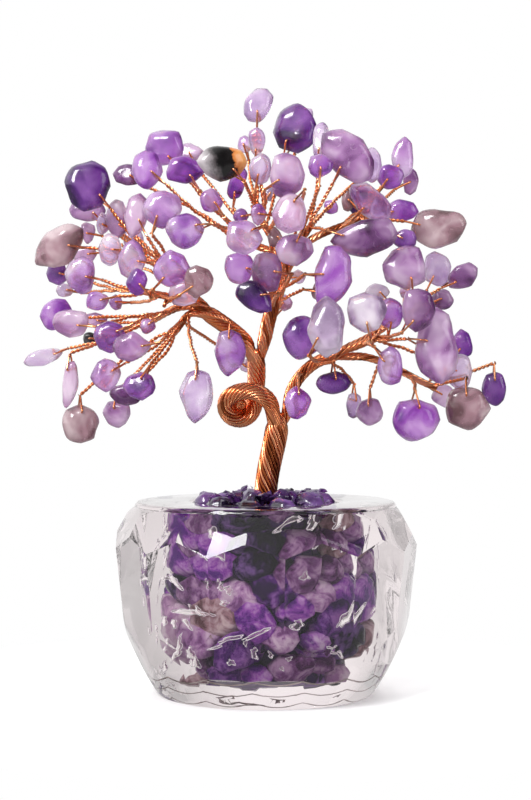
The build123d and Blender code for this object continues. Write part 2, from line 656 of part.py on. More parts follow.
heap = []
for count, at, size, thick, phase in (
    (HEAP_OUTER, HEAP_OUTER_AT, HEAP_OUTER_CHIP, HEAP_OUTER_THICK, 0.0),
    (HEAP_INNER, HEAP_INNER_AT, HEAP_INNER_CHIP, HEAP_INNER_THICK, HEAP_INNER_PHASE),
):
    for k in range(count):
        t = math.tau * (k + phase) / count
        n = (0, 0, 1)
        u = (-math.sin(t), math.cos(t), 0)
        v = (-math.cos(t), -math.sin(t), 0)
        points = outline(chip_rng, CHIP_CORNERS, size, size)
        middle = (at * math.cos(t), at * math.sin(t), plug_top + FIT_GAP + thick / 2)
        heap.append(pebble(chip_rng, points, thick, FILL_LEVELS, middle, u, v, n))

# Export
export_step(glass_bowl(), "parts/glass_bowl.step")
export_step(plug, "parts/resin_plug.step")
third = RING_LAYERS // 3
for name, group in (
    ("chips_lower", layers[:third]),
    ("chips_middle", layers[third:2 * third]),
    ("chips_upper", layers[2 * third:]),
):
    export_step(Compound([chip for chips in group for chip in chips]), "parts/" + name + ".step")
export_step(Compound(heap), "parts/chips_heap.step")
for name, solid in ropes.items():
    export_step(solid, "parts/" + name + ".step")
swing = 0
for spray in SPRAYS:
    own = [leaf for leaf in leaves if leaf["spray"] == spray]
    export_step(Compound([leaf["twig"] for leaf in own]), "parts/twigs_" + spray + ".step")
    held = [leaf["stone"] for leaf in own if not leaf["swing"]]
    export_step(Compound(held), "parts/stones_" + spray + ".step")
    if spray in stems:
        export_step(stems[spray][0], "parts/stem_" + spray + ".step")
for leaf in leaves:
    if leaf["swing"]:
        swing += 1
        name = "swing_stone_%02d" % swing
        export_step(leaf["stone"], "parts/" + name + ".step")
        hole = ", ".join("%.3f" % p for p in leaf["hole"])
        axis = ", ".join("%.5f" % p for p in leaf["axes"][2])
        print("hinge", name, leaf["spray"], "at", hole, "about", axis)
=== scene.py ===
"""A gemstone tree: drilled amethyst chips on twisted copper wire, standing in a cut-glass bowl."""

import json
import math
import random

import bmesh
import bpy
import numpy as np
from mathutils import Euler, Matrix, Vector, noise

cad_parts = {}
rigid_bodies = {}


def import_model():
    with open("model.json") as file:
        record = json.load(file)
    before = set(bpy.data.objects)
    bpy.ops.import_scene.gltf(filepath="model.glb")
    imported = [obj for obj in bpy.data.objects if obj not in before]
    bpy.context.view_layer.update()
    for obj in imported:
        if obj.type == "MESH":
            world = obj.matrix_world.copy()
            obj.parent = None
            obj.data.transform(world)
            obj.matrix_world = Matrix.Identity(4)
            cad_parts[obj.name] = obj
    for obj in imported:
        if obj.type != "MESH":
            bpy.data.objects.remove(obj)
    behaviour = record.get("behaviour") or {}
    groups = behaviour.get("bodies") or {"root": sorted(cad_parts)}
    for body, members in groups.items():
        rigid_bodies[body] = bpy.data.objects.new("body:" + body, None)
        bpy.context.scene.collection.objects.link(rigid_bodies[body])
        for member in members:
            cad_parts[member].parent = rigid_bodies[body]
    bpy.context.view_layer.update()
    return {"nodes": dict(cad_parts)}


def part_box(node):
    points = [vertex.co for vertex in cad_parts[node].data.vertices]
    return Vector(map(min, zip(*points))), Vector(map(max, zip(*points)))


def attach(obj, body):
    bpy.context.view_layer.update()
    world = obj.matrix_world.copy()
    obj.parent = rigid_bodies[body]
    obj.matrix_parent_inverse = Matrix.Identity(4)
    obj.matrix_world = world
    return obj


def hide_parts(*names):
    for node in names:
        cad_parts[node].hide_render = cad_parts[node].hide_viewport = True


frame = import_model()
nodes = frame["nodes"]

MM = 0.001
ROOT = "tree"

# Mesh work: corners nearer than this are one, and faces that turn less than this are one.
MERGE_GAP = 1e-7
HULL_FLAT = math.radians(2)
CAP_FLAT = math.radians(0.5)
BOWL_FLAT = math.radians(0.2)
FACET_ANGLE = math.radians(12)
LEAST_POINTS = 6
LEAST_RINGS = 6
GUIDE_MOST = 0.8

# Camera: level, half a metre away, at the height of the photograph's horizon.
PHOTO_W = 531
PHOTO_H = 800
EYE_DISTANCE = 500 * MM
EYE_HEIGHT = 84.1 * MM
FOCAL_PX = 1947
HORIZON_PY = 364
SENSOR = 24
NEAREST = 10 * MM
GLASS_BOUNCES = 20

# Ropes of wire. The tones are the materials that wires are drawn from: the bright copper twice as often as
# a darker copy of it, which is painted shade on those strands.
WIRE_R = 0.41 * MM
WIRE_SIDES = 8
WIRE_TONES = (0, 0, 1)
WIRE_PITCH = 1.06 * MM
LAY_ANGLE = math.radians(-34)
RING_STEP = 1.0 * MM
MARCH_STEP = 0.7 * MM
FORK_SHARE = 1.7
MOST_STEPS = 400
LINE_PASSES = 2
REACH = 1.2
FORK_TIP = 0.3
STEM_TIP = 0.8
SUNK_SHARE = 0.8
CORE_SIDES = 12
CORE_DEEP = 1.5
EYE_SPAN = (0.25, 0.7)
EYE_TURNS = 3
EYE_STEPS = 20
EYE_WIRE = 1.5

# Twigs, each a twisted pair of wires that bows and wiggles a little.
TWIG_R = 0.5 * MM
PAIR_PITCH = 2.4 * MM
PAIR_STEPS = 9
PAIR_SIDES = 6
PAIR_ROOT = 0.8 * MM
PAIR_LEAD = 5.0 * MM
PAIR_OVER = 0.1 * MM
PAIR_FULL = 1.06
BOW = 0.045
BOW_MOST = 0.8 * MM
WIGGLE = 0.14 * MM
WIGGLE_LONG = 5.5 * MM
SHANK_LEAST = 0.3 * MM
SKIN_SLACK = 0.02 * MM
ROOT_REACH = 2.04

# Stones: those on the twigs, the chips in the bowl, the heap on top and the crumbs in it.
ROUND_LEVELS = 2
SWELL = 1.06
CHIP_SWELL = 1.4
CHIP_TILT = 0.9
CHIP_FLAT = 0.85
CHIP_DROP = 2.4 * MM
CHIP_SPREAD = 0.3
HEAP_SWELL = 1.0
HEAP_TILT = 0.5
CRUMBS = 110
CRUMB_SEED = 7
CRUMB_SIZE = (1.0 * MM, 2.4 * MM)
CRUMB_FLAT = 0.55
CRUMB_TILT = 0.6
CRUMB_CORNERS = 14
CRUMB_RISE = (1.0 * MM, 4.6 * MM)
CRUMB_ROOM = 1.5 * MM
CREASE = (0.1, 0.65)
CHIP_CREASE = (0.7, 1.0)
DENT = 0.35 * MM
DENT_SIZE = 3.6 * MM

# Bowl: its cavity, the glue in it, the chips pressed against its wall, and the air pockets.
CAVITY_R = 19.0 * MM
CAVITY_SLACK = 0.05 * MM
GLUE_TOP = 46.5 * MM
GLUE_SKIN = 0.5 * MM
GLUE_INDEX = 1.12
PRESS = 2.0 * MM
PRESS_FROM = CAVITY_R - GLUE_SKIN - PRESS
GLUE_WAVE = 0.8 * MM
GLUE_WAVE_SIZE = 5.0 * MM
GLUE_RINGS = (1.0, 0.93, 0.75, 0.55, 0.35, 0.15)
BUBBLES = 76
BUBBLE_SEED = 11
BUBBLE_HEIGHTS = (11 * MM, 45 * MM)
BUBBLE_LONG = (0.3 * MM, 4.6 * MM)
BUBBLE_SHORT = (0.3 * MM, 1.3 * MM)
BUBBLE_SKEW = 3
BUBBLE_LEVELS = 2
BUBBLE_LEAN = 0.9
BUBBLE_BEND = 0.5
BUBBLE_LOBES = (2, 3, 5)
BUBBLE_LOBE = 0.22
BUBBLE_AT = 18.75 * MM
BUBBLE_DEEP = 0.2 * MM
# Painted glints round the air pockets, as thin near-white tubes.
RIM_R = 0.09 * MM
RIM_FULL = 2.0 * MM
RIM_STEPS = 33
RIM_SIDES = 5

# Painted dark lines in the foot of the bowl, where the edges of its cuts look dark in the glass: height,
# distance from the middle and thickness of each.
FOOT_LINES = (
    (8.0 * MM, 24.0 * MM, 0.20 * MM),
    (5.0 * MM, 25.0 * MM, 0.14 * MM),
    (2.4 * MM, 24.0 * MM, 0.12 * MM),
)
FOOT_CUTS = 13
FOOT_WAVE = 1.0 * MM
FOOT_STEPS = 261

# Where each tone is seen in the photograph, in its pixels.
TONES = {
    "deep": ((88, 186), (295, 129), (241, 216), (57, 273), (494, 389), (328, 379), (303, 338),
             (254, 297), (360, 210), (405, 239)),
    "vivid": ((147, 170), (184, 170), (237, 184), (211, 200), (390, 177), (402, 211), (331, 207),
              (137, 282), (56, 314), (415, 420), (298, 403), (239, 268), (332, 276), (462, 345)),
    "violet": ((165, 148), (185, 231), (320, 166), (148, 326), (97, 301), (110, 337), (391, 366),
               (140, 386), (172, 270), (230, 352), (390, 314), (258, 214)),
    "lilac": ((257, 141), (245, 145), (243, 237), (403, 159), (371, 203), (81, 275), (116, 303),
              (132, 258), (162, 209), (298, 277), (106, 375), (275, 194)),
    "pale": ((258, 105), (260, 169), (306, 115), (321, 140), (373, 165), (437, 269), (110, 250),
             (64, 290), (43, 357), (197, 395), (354, 405), (247, 366), (459, 372), (103, 224)),
    "pink": ((136, 215), (88, 233), (84, 253), (290, 214), (95, 320), (71, 323), (70, 384),
             (285, 303), (406, 292), (184, 293), (117, 219)),
    "mauve": ((87, 208), (287, 176), (348, 156), (410, 181), (405, 268), (437, 347), (443, 396),
              (370, 412), (131, 347), (294, 250), (117, 413), (267, 272), (190, 153)),
    "plum": ((127, 175), (366, 238), (463, 276), (443, 300), (127, 394), (418, 309)),
    "smoky": ((60, 246), (438, 228), (466, 408), (80, 424), (319, 291), (198, 281), (275, 238),
              (348, 200)),
    "clouded": ((327, 327), (367, 312), (377, 292), (270, 194)),
    "black": ((90, 340),),
    "banded": ((222, 163),),
}

# Dark, body and pale colour of each tone, and how much light goes through it.
GEMS = {
    "deep": ("#2c0a44", "#5c2180", "#a66cc0", 0.60),
    "vivid": ("#5c1e86", "#a04ebe", "#d8ace4", 0.65),
    "violet": ("#743896", "#b06cc8", "#e2c6ea", 0.68),
    "lilac": ("#9662aa", "#c894d4", "#f2e4f6", 0.70),
    "pale": ("#a884bc", "#d6b8e0", "#f8eefa", 0.72),
    "pink": ("#a874ac", "#d0a6ce", "#f0dcee", 0.66),
    "mauve": ("#7c4884", "#b684bc", "#e8cee8", 0.58),
    "plum": ("#481a4c", "#804c88", "#c29cc4", 0.50),
    "smoky": ("#644248", "#aa828e", "#e2ccd0", 0.55),
    "clouded": ("#80648a", "#bca2c4", "#f0e6f0", 0.62),
    "black": ("#040304", "#0e0b0d", "#4c4448", 0.0),
    # A near-black copy of the amethyst: painted shade on chips that lie in shadow.
    "shade_tone": ("#0a0310", "#241036", "#6c4a88", 0.10),
    "banded": ("#040304", "#151013", "#8c8488", 0.0),
}
GEM_NAMES = tuple(GEMS)

# Noise patterns: scale, detail, roughness and twist. Ramps: where each stop is and its level or colour.
ZONES = (130, 2.0, 0.5, 0.5)
GLUED_ZONES = (250, 4.0, 0.6, 0.5)
VEINS = (420, 4.0, 0.65, 1.2)
VEIN_MASK = ((0.60, 0.0), (0.72, 0.5))
POLISH = (900, 2.0)
GLOSS = ((0.35, 0.08), (0.70, 0.26))
PIT = (0.18, 0.15 * MM)
STONE_INDEX = 1.54
STONE_COAT = 0.35
COAT_ROUGH = 0.06
STOPS = (0.34, 0.48, 0.68)
GLUED_STOPS = (0.40, 0.50, 0.64)
GLUED_CLEAR = 0.4
# The chips and the heap draw partly on the near-black tone, which is painted shade.
CHIP_TONES = ("deep", "plum", "vivid", "mauve", "shade_tone", "plum", "violet", "smoky", "deep", "pink")
HEAP_TONES = ("shade_tone", "shade_tone", "deep")
CHIP_SEED = 5
BAND_WAY = (1.0, 0.0, 0.32)
BAND_FROM = 29.4 * MM
BAND_TO = 40.4 * MM
BAND_STRAY = 4.0 * MM
BAND_NOISE = (420, 5.0, 0.7)
BAND_PIT = (0.15, 0.2 * MM)
BAND_ROUGH = 0.16
BAND_COAT = 0.3
BANDS = ((0.0, "#b0a8ac"), (0.26, "#4a4446"), (0.36, "#0b090a"), (0.70, "#120e0f"), (0.74, "#b86c34"),
         (1.0, "#e8a868"))
PATCHES = (90, 2.0)
PATCH_STOPS = (0.35, 0.65)
DULL_ROUGH = 0.08
GLASS_WAVES = (110, 2.0)
GLASS_WAVE = (0.08, 0.6 * MM)
GLASS_TINT = "#fdf3f4"
GLASS_INDEX = 1.5
# Painted glint round the air pockets: grain, tints, roughness and index.
GLINT_GRAIN = (300, 2.0)
GLINT_TINTS = ((0.3, "#f0e8f4"), (0.7, "#fdfcfe"))
GLINT_ROUGH = 0.2
GLINT_INDEX = 1.3
FOOT_LENGTHS = (120, 3.0)
FOOT_TINTS = ((0.4, "#7a6864"), (0.6, "#d8cccc"))
FOOT_ROUGH = 0.3
PLUG_CELLS = 210
PLUG_TINTS = ((0.0, "#240c3a"), (0.55, "#5a2a80"), (1.0, "#9668b4"))
PLUG_GAP_SHADE = ((0.0, 0.25), (0.16, 1.0))
PLUG_RELIEF = (0.5, 1.0 * MM)
PLUG_ROUGH = 0.4
PLUG_SHINE = 0.1

# Floor: how bright it is through glass far off and under the bowl, where it is darker as a painted shadow,
# and in a mirror.
FLOOR = 3.0
FLOOR_GRAIN = (40, 2.0)
FLOOR_TINTS = ((0.3, "#f4f4f4"), (0.7, "#fafafa"))
FLOOR_ROUGH = 0.6
FLOOR_FADE = (45 * MM, 110 * MM)
FLOOR_NEAR = (30 * MM, 110 * MM)
FLOOR_THROUGH = 0.92
FLOOR_UNDER = 0.55
FLOOR_MIRRORED = 0.35

# Light of the world: from where to where in a direction, and its levels there.
STUDIO_UP = (-0.15, 0.8, 0.06, 1.25)
BEHIND_MIDDLE = -0.15
BEHIND_ASIDE = (0.2, 1.1, 0.98, 0.38)
SHEEN_ACROSS = (-0.9, 0.5, 1.9, 0.04)
SHEEN_UP = (-0.3, 0.6, 0.5, 1.1)

# Lamps, aimed at the middle of the tree: place and size in metres, and power.
TREE_MIDDLE = (0, 0, 0.085)
KEY_LAMP = ((-0.35, -0.45, 0.55), (0.30, 0.30), 5.2)
FILL_LAMP = ((0.55, -0.30, 0.30), (0.30, 0.50), 1.0)
BACK_LAMP = ((0.10, 0.60, 0.45), (0.60, 0.40), 2.5)


def linear(code):
    """A colour written in hexadecimal, as linear red, green, blue and alpha."""
    out = []
    for at in (1, 3, 5):
        c = int(code[at:at + 2], 16) / 255
        out.append(c / 12.92 if c < 0.04045 else ((c + 0.055) / 1.055) ** 2.4)
    return (*out, 1.0)


class Nodes:
    """A node tree with short ways to add nodes. A link is a node and one of its outputs."""

    def __init__(self, tree):
        self.tree = tree

    def node(self, kind, **inputs):
        made = self.tree.nodes.new(kind)
        for socket, value in inputs.items():
            made.inputs[socket.replace("_", " ")].default_value = value
        return made

    def join(self, source, out, target, into):
        self.tree.links.new(source.outputs[out], target.inputs[into])

    def maths(self, operation, *links):
        made = self.node("ShaderNodeMath")
        made.operation = operation
        for into, (source, out) in enumerate(links):
            self.join(source, out, made, into)
        return made

    def spread(self, source, out, low, high, first, last):
        """A level that goes from first to last while the source goes from low to high."""
        made = self.node("ShaderNodeMapRange", From_Min=low, From_Max=high, To_Min=first, To_Max=last)
        self.join(source, out, made, "Value")
        return made

    def blend(self, *links):
        """A mix of two levels, linked from its factor, its first and its second level."""
        made = self.node("ShaderNodeMix")
        for into, (source, out) in zip(("Factor", "A", "B"), links):
            self.join(source, out, made, into)
        return made


class Shader(Nodes):
    """One node material with its Principled shader."""

    def __init__(self, name):
        self.material = bpy.data.materials.new(name)
        self.material.use_nodes = True
        super().__init__(self.material.node_tree)
        self.surface = self.tree.nodes["Principled BSDF"]

    def put(self, **values):
        for socket, value in values.items():
            self.surface.inputs[socket.replace("_", " ")].default_value = value

    def ramp(self, source, out, stops):
        made = self.node("ShaderNodeValToRGB")
        row = made.color_ramp.elements
        while len(row) < len(stops):
            row.new(0.5)
        for stop, (place, colour) in zip(row, stops):
            stop.position = place
            stop.color = colour
        self.join(source, out, made, "Fac")
        return made

    def levels(self, source, out, stops):
        return self.ramp(source, out, [(place, (level, level, level, 1)) for place, level in stops])

    def colours(self, source, out, stops):
        return self.ramp(source, out, [(place, linear(code)) for place, code in stops])

    def colour_mix(self, kind, first):
        """The surface's colour as a mix, with its first colour linked from a node."""
        made = self.node("ShaderNodeMix")
        made.data_type = "RGBA"
        made.blend_type = kind
        self.join(first, "Color", made, "A")
        self.join(made, "Result", self.surface, "Base Color")
        return made

    def noise(self, scale, detail=3.0, rough=0.5, twist=0.0):
        spot = self.node("ShaderNodeTexCoord")
        made = self.node("ShaderNodeTexNoise", Scale=scale, Detail=detail, Roughness=rough,
                         Distortion=twist)
        self.join(spot, "Object", made, "Vector")
        return made

    def bump(self, source, out, strength, height):
        made = self.node("ShaderNodeBump", Strength=strength, Distance=height)
        self.join(source, out, made, "Height")
        self.join(made, "Normal", self.surface, "Normal")
        return made


def gem(name, in_glue=False):
    """Tumbled amethyst: clouded colour in zones, pale veins, a polished skin with small pits."""
    dark, body, pale, clear = GEMS[name]
    s = Shader(("glued_" if in_glue else "gem_") + name)
    zones = s.noise(*(GLUED_ZONES if in_glue else ZONES))
    stops = GLUED_STOPS if in_glue else STOPS
    colour = s.colours(zones, "Fac", zip(stops, (dark, body, pale)))
    veins = s.noise(*VEINS)
    mix = s.colour_mix("MIX", colour)
    mix.inputs["B"].default_value = linear(pale)
    s.join(s.levels(veins, "Fac", VEIN_MASK), "Color", mix, "Factor")
    gloss = s.levels(s.noise(*POLISH), "Fac", GLOSS)
    s.join(gloss, "Color", s.surface, "Roughness")
    s.bump(veins, "Fac", *PIT)
    if in_glue:
        s.put(Transmission_Weight=clear * GLUED_CLEAR, IOR=GLUE_INDEX)
    else:
        s.put(Transmission_Weight=clear, IOR=STONE_INDEX, Coat_Weight=STONE_COAT, Coat_Roughness=COAT_ROUGH)
    return s.material


def banded():
    """One dark stone with a grey end and an end stained orange by iron, in bands that stray."""
    s = Shader("gem_banded")
    spot = s.node("ShaderNodeTexCoord")
    along = s.node("ShaderNodeVectorMath")
    along.operation = "DOT_PRODUCT"
    along.inputs[1].default_value = BAND_WAY
    s.join(spot, "Object", along, 0)
    stray = s.noise(*BAND_NOISE)
    place = s.maths("MULTIPLY_ADD", (stray, "Fac"))
    place.inputs[1].default_value = BAND_STRAY
    s.join(along, "Value", place, 2)
    share = s.spread(place, "Value", BAND_FROM, BAND_TO, 0, 1)
    s.join(s.colours(share, "Result", BANDS), "Color", s.surface, "Base Color")
    s.bump(stray, "Fac", *BAND_PIT)
    s.put(IOR=STONE_INDEX, Roughness=BAND_ROUGH, Coat_Weight=BAND_COAT, Coat_Roughness=COAT_ROUGH)
    return s.material


def copper(name, bright, dull, rough):
    """Bare drawn copper: brighter and duller lengths, the duller ones less polished."""
    s = Shader(name)
    patches = s.noise(*PATCHES)
    colour = s.colours(patches, "Fac", zip(PATCH_STOPS, (dull, bright)))
    s.join(colour, "Color", s.surface, "Base Color")
    gloss = s.levels(patches, "Fac", zip(PATCH_STOPS, (rough + DULL_ROUGH, rough)))
    s.join(gloss, "Color", s.surface, "Roughness")
    s.put(Metallic=1.0)
    return s.material


def glass(name):
    """Clear cut glass, with the slight waviness of a hand-polished facet."""
    s = Shader(name)
    s.bump(s.noise(*GLASS_WAVES), "Fac", *GLASS_WAVE)
    s.put(IOR=GLASS_INDEX, Transmission_Weight=1.0, Roughness=0.0, Base_Color=linear(GLASS_TINT))
    return s.material


gems = [banded() if name == "banded" else gem(name) for name in GEM_NAMES]
glued_gems = [gem(name, True) for name in GEM_NAMES]
wire_copper = copper("copper_wire", "#fab084", "#e48a58", 0.12)
# A darker copy of the wire copper: painted shade on some strands.
strand_shade_copper = copper("copper_strand_painted_shade", "#b4643a", "#8a4626", 0.16)
# Near-black copper for the core under the wires: painted shade in the grooves between them.
groove_shade_copper = copper("copper_groove_painted_shade", "#3a1206", "#240a03", 0.5)
twig_copper = copper("copper_twig", "#fbb488", "#e48e5c", 0.15)
bowl_glass = glass("bowl_glass")


def unit(v):
    return v / np.linalg.norm(v)


def merged(name):
    """A CAD node's mesh with its shared corners joined, as a bmesh."""
    bm = bmesh.new()
    bm.from_mesh(nodes[name].data)
    bmesh.ops.remove_doubles(bm, verts=bm.verts, dist=MERGE_GAP)
    bm.verts.ensure_lookup_table()
    bm.verts.index_update()
    return bm


def islands(bm):
    """The separate solids of a mesh, each as a list of its corners' numbers."""
    seen = [False] * len(bm.verts)
    found = []
    for start in range(len(bm.verts)):
        if seen[start]:
            continue
        seen[start] = True
        group = [start]
        for at in group:
            for edge in bm.verts[at].link_edges:
                other = edge.other_vert(bm.verts[at]).index
                if not seen[other]:
                    seen[other] = True
                    group.append(other)
        found.append(group)
    return found


def add_piece(name, mesh, materials, body, *stands_for):
    """A finished piece: its mesh, its materials, the body it rides and the nodes it stands for."""
    obj = bpy.data.objects.new(name, mesh)
    for material in materials:
        mesh.materials.append(material)
    bpy.context.scene.collection.objects.link(obj)
    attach(obj, body)
    if stands_for:
        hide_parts(*stands_for)
    return obj


def smooth(mesh):
    mesh.polygons.foreach_set("use_smooth", [True] * len(mesh.polygons))


def hull_of(bm, corners):
    """The faces of the hull of some of a mesh's corners. The corners inside it are taken out."""
    hull = bmesh.ops.convex_hull(bm, input=corners)
    left_over = hull["geom_interior"] + hull["geom_unused"]
    spare = {v for v in left_over if isinstance(v, bmesh.types.BMVert)}
    bmesh.ops.delete(bm, geom=list(spare), context="VERTS")
    return [face for face in hull["geom"] if isinstance(face, bmesh.types.BMFace)]


# Stones

def photo_place(at):
    """Where the camera sees a point, in the photograph's pixels."""
    away = EYE_DISTANCE + at[1]
    return (PHOTO_W / 2 + FOCAL_PX * at[0] / away, HORIZON_PY - FOCAL_PX * (at[2] - EYE_HEIGHT) / away)


def nearest_tone(at):
    """The tone whose place in the photograph is nearest to where the camera sees a point."""
    px, py = photo_place(at)
    best = None
    for tone, places in TONES.items():
        for x, y in places:
            gap = math.hypot(px - x, py - y)
            if best is None or gap < best[0]:
                best = (gap, tone)
    return best[1]


def pebbles(name, tones, swell, loose, flat, sharp):
    """The solids of a node as tumbled chips: rounded hulls with shallow dents, each in its tone.

    Each is swollen, tilted as loosely as said, flattened towards the bowl's wall and creased in a range.
    """
    source = merged(name)
    whole = bmesh.new()
    crease = whole.edges.layers.float.new("crease_edge")
    draw = random.Random(name)
    for group in islands(source):
        corners = np.array([source.verts[i].co for i in group])
        middle = (corners.min(axis=0) + corners.max(axis=0)) / 2
        tilt = Euler([draw.uniform(-loose, loose) for _ in range(3)]).to_matrix()
        drop = Vector((0, 0, draw.uniform(-loose, loose) * CHIP_DROP))
        full = swell * (1 + draw.uniform(-loose, loose) * CHIP_SPREAD)
        out = unit(np.array((middle[0], middle[1], 0)))
        shape = (corners - middle) * full
        shape -= np.outer(shape @ out, out) * (1 - flat)
        one = bmesh.new()
        for at in shape:
            one.verts.new(Vector(middle) + drop + tilt @ Vector(at))
        hull_of(one, one.verts)
        bmesh.ops.dissolve_limit(one, angle_limit=HULL_FLAT, verts=one.verts, edges=one.edges)
        tone = GEM_NAMES.index(tones(middle))
        copied = {}
        for v in one.verts:
            copied[v] = whole.verts.new(v.co)
        for face in one.faces:
            whole.faces.new([copied[v] for v in face.verts]).material_index = tone
        for edge in one.edges:
            twin = whole.edges.get([copied[v] for v in edge.verts])
            if twin:
                twin[crease] = draw.uniform(*sharp)
        one.free()
    source.free()
    rough = bpy.data.meshes.new(name + "_rough")
    whole.to_mesh(rough)
    whole.free()
    cage = bpy.data.objects.new(name + "_cage", rough)
    bpy.context.scene.collection.objects.link(cage)
    step = cage.modifiers.new("round", "SUBSURF")
    step.levels = ROUND_LEVELS
    step.render_levels = ROUND_LEVELS
    bpy.context.view_layer.update()
    rounded = cage.evaluated_get(bpy.context.evaluated_depsgraph_get())
    made = bpy.data.meshes.new_from_object(rounded)
    bpy.data.objects.remove(cage)
    bpy.data.meshes.remove(rough)
    made.name = name + "_mesh"
    for v in made.vertices:
        v.co += v.normal * (DENT * noise.noise(v.co / DENT_SIZE))
    smooth(made)
    return made


def add_stones(name, body):
    mesh = pebbles(name, nearest_tone, SWELL, 0, 1, CREASE)
    add_piece("look_" + name, mesh, gems, body, name)


def add_glued(name, low, high):
    """A layer of the chips in the bowl, pressed against its wall and covered by the glue."""
    mesh = pebbles(name, lambda at: chip_draw.choice(CHIP_TONES), CHIP_SWELL, CHIP_TILT, CHIP_FLAT,
                   CHIP_CREASE)
    for v in mesh.vertices:
        far = math.hypot(v.co.x, v.co.y)
        over = max(0, (far - PRESS_FROM) / PRESS)
        press = (far - PRESS * over * over / (1 + over)) / far
        v.co = (v.co.x * press, v.co.y * press, min(max(v.co.z, low), high))
    add_piece("look_" + name, mesh, glued_gems, ROOT, name)


for name in nodes:
    if name.startswith("stones_"):
        add_stones(name, ROOT)
    if name.startswith("swing_stone_"):
        add_stones(name, name)

chip_draw = random.Random(CHIP_SEED)
cavity_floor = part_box("resin_plug")[0][2]
for name in ("chips_lower", "chips_middle", "chips_upper"):
    add_glued(name, cavity_floor, GLUE_TOP - GLUE_SKIN)
heap = pebbles("chips_heap", lambda at: chip_draw.choice(HEAP_TONES), HEAP_SWELL, HEAP_TILT, 1,
               CHIP_CREASE)
add_piece("look_chips_heap", heap, gems, ROOT, "chips_heap")


# Copper ropes

class Tubes:
    """Round wires gathered into one mesh."""

    def __init__(self):
        self.points = []
        self.faces = []
        self.tones = []
        self.count = 0

    def add(self, path, radius, sides, tone=0):
        """A round wire along a path, closed at both ends, in one of the mesh's materials."""
        path = np.asarray(path)
        along = np.gradient(path, axis=0)
        along /= np.linalg.norm(along, axis=1)[:, None]
        side = carried(along)
        other = np.cross(along, side)
        turn = (np.arange(sides) * 2 * math.pi / sides)[None, :, None]
        across = np.cos(turn) * side[:, None] + np.sin(turn) * other[:, None]
        radius = np.broadcast_to(radius, len(path))
        first = self.count
        self.points.append((path[:, None] + radius[:, None, None] * across).reshape(-1, 3))
        self.count += len(path) * sides
        low = first + np.arange(len(path) - 1)[:, None] * sides
        here = low + np.arange(sides)
        there = low + (np.arange(sides) + 1) % sides
        quads = np.stack((here, there, there + sides, here + sides), axis=2)
        self.faces += quads.reshape(-1, 4).tolist()
        self.faces.append(list(range(first, first + sides))[::-1])
        self.faces.append(list(range(self.count - sides, self.count)))
        self.tones += [tone] * (len(self.faces) - len(self.tones))

    def graft(self, points, faces):
        """Faces taken over from another mesh, numbered within their own points."""
        self.faces += [[self.count + i for i in face] for face in faces]
        self.points.append(np.array(points).reshape(-1, 3))
        self.count += len(points)
        self.tones += [0] * len(faces)

    def mesh(self, name):
        made = bpy.data.meshes.new(name)
        made.from_pydata(np.concatenate(self.points).tolist(), [], self.faces)
        made.polygons.foreach_set("material_index", self.tones)
        smooth(made)
        return made


def first_side(d):
    """A direction square to d."""
    guide = np.array((1.0, 0, 0)) if abs(d[0]) < GUIDE_MOST else np.array((0, 1.0, 0))
    return unit(guide - d * (guide @ d))


def carried(along):
    """A direction square to each of a path's directions, carried along it without turning."""
    side = first_side(along[0])
    out = []
    for d in along:
        side = unit(side - d * (side @ d))
        out.append(side)
    return np.array(out)


def end_caps(bm):
    """Centre, outward normal and radius of a rope's two flat ends."""
    bmesh.ops.dissolve_limit(bm, angle_limit=CAP_FLAT, verts=bm.verts, edges=bm.edges)
    flat = sorted(bm.faces, key=lambda f: (-len(f.verts), f.index))[:2]
    out = []
    for face in flat:
        ring = np.array([v.co for v in face.verts])
        middle = (ring.min(axis=0) + ring.max(axis=0)) / 2
        out.append((middle, np.array(face.normal), np.linalg.norm(ring - middle, axis=1).mean()))
    return out


def cut_circle(corners, edges, at, d, reach):
    """Centre and radius of the round section where a plane cuts a rope near a point."""
    side = (corners - at) @ d
    a, b = edges[:, 0], edges[:, 1]
    hit = side[a] * side[b] < 0
    a, b = a[hit], b[hit]
    share = side[a] / (side[a] - side[b])
    points = corners[a] + share[:, None] * (corners[b] - corners[a])
    points = points[np.linalg.norm(points - at, axis=1) < reach] - at
    if len(points) < LEAST_POINTS:
        return None
    e1 = first_side(d)
    e2 = np.cross(d, e1)
    u, v = points @ e1, points @ e2
    rows = np.stack((2 * u, 2 * v, np.ones(len(u))), axis=1)
    fit = np.linalg.lstsq(rows, u * u + v * v, rcond=None)[0]
    return at + fit[0] * e1 + fit[1] * e2, math.sqrt(fit[2] + fit[0] ** 2 + fit[1] ** 2)


